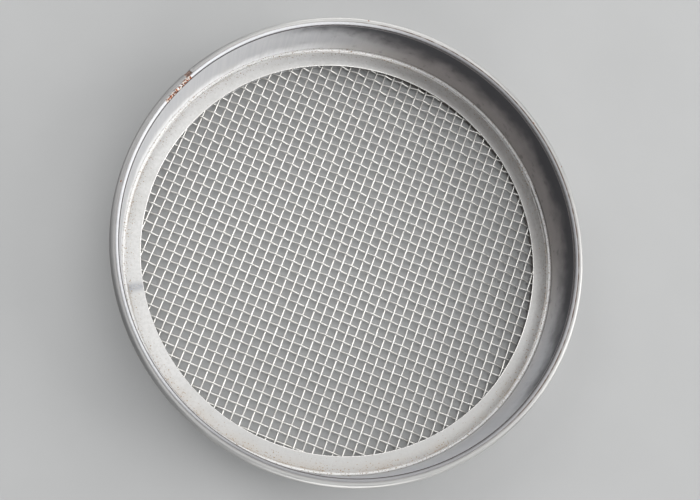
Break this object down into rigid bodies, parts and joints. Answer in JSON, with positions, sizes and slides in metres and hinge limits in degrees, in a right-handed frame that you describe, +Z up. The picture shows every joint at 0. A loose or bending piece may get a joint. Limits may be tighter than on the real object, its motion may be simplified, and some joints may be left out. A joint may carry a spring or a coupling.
{
  "type": "soil sieve",
  "caption": "Round steel soil sieve: a shallow hoop with a rod round its rim, a flat clamp ring inside the bottom edge and a plain-woven wire mesh.",
  "frame": {"origin": "middle of the underside, on the hoop's axis", "axes": "+Z up along the hoop's axis, +X along the weft wires, +Y along the warp wires"},
  "size_m": [0.3, 0.3, 0.0433],
  "materials": {
    "hoop_sheet": "satin rolled stainless sheet, lightly dusty",
    "ring_sheet": "matt stainless sheet with a pale film of dry soil dust",
    "rim_rod": "smooth drawn stainless rod, handled",
    "weld_bead": "rough rusty tack weld",
    "screen_wire": "bright drawn stainless wire"
  },
  "bodies": {
    "root": {"body_hoop": "hoop_sheet", "clamp_ring": "ring_sheet", "rim_rod": "rim_rod", "rim_weld": "weld_bead", "warp_wires_01": "screen_wire", "warp_wires_02": "screen_wire", "warp_wires_03": "screen_wire", "warp_wires_04": "screen_wire", "warp_wires_05": "screen_wire", "warp_wires_06": "screen_wire", "warp_wires_07": "screen_wire", "warp_wires_08": "screen_wire", "warp_wires_09": "screen_wire", "warp_wires_10": "screen_wire", "warp_wires_11": "screen_wire", "warp_wires_12": "screen_wire", "warp_wires_13": "screen_wire", "warp_wires_14": "screen_wire", "warp_wires_15": "screen_wire", "warp_wires_16": "screen_wire", "warp_wires_17": "screen_wire", "warp_wires_18": "screen_wire", "warp_wires_19": "screen_wire", "warp_wires_20": "screen_wire", "warp_wires_21": "screen_wire", "warp_wires_22": "screen_wire", "weft_wire_middle": "screen_wire", "weft_wires_01": "screen_wire", "weft_wires_02": "screen_wire", "weft_wires_03": "screen_wire", "weft_wires_04": "screen_wire", "weft_wires_05": "screen_wire", "weft_wires_06": "screen_wire", "weft_wires_07": "screen_wire", "weft_wires_08": "screen_wire", "weft_wires_09": "screen_wire", "weft_wires_10": "screen_wire", "weft_wires_11": "screen_wire", "weft_wires_12": "screen_wire", "weft_wires_13": "screen_wire", "weft_wires_14": "screen_wire", "weft_wires_15": "screen_wire", "weft_wires_16": "screen_wire", "weft_wires_17": "screen_wire", "weft_wires_18": "screen_wire", "weft_wires_19": "screen_wire", "weft_wires_20": "screen_wire", "weft_wires_21": "screen_wire", "weft_wires_22": "screen_wire"}
  },
  "joints": []
}
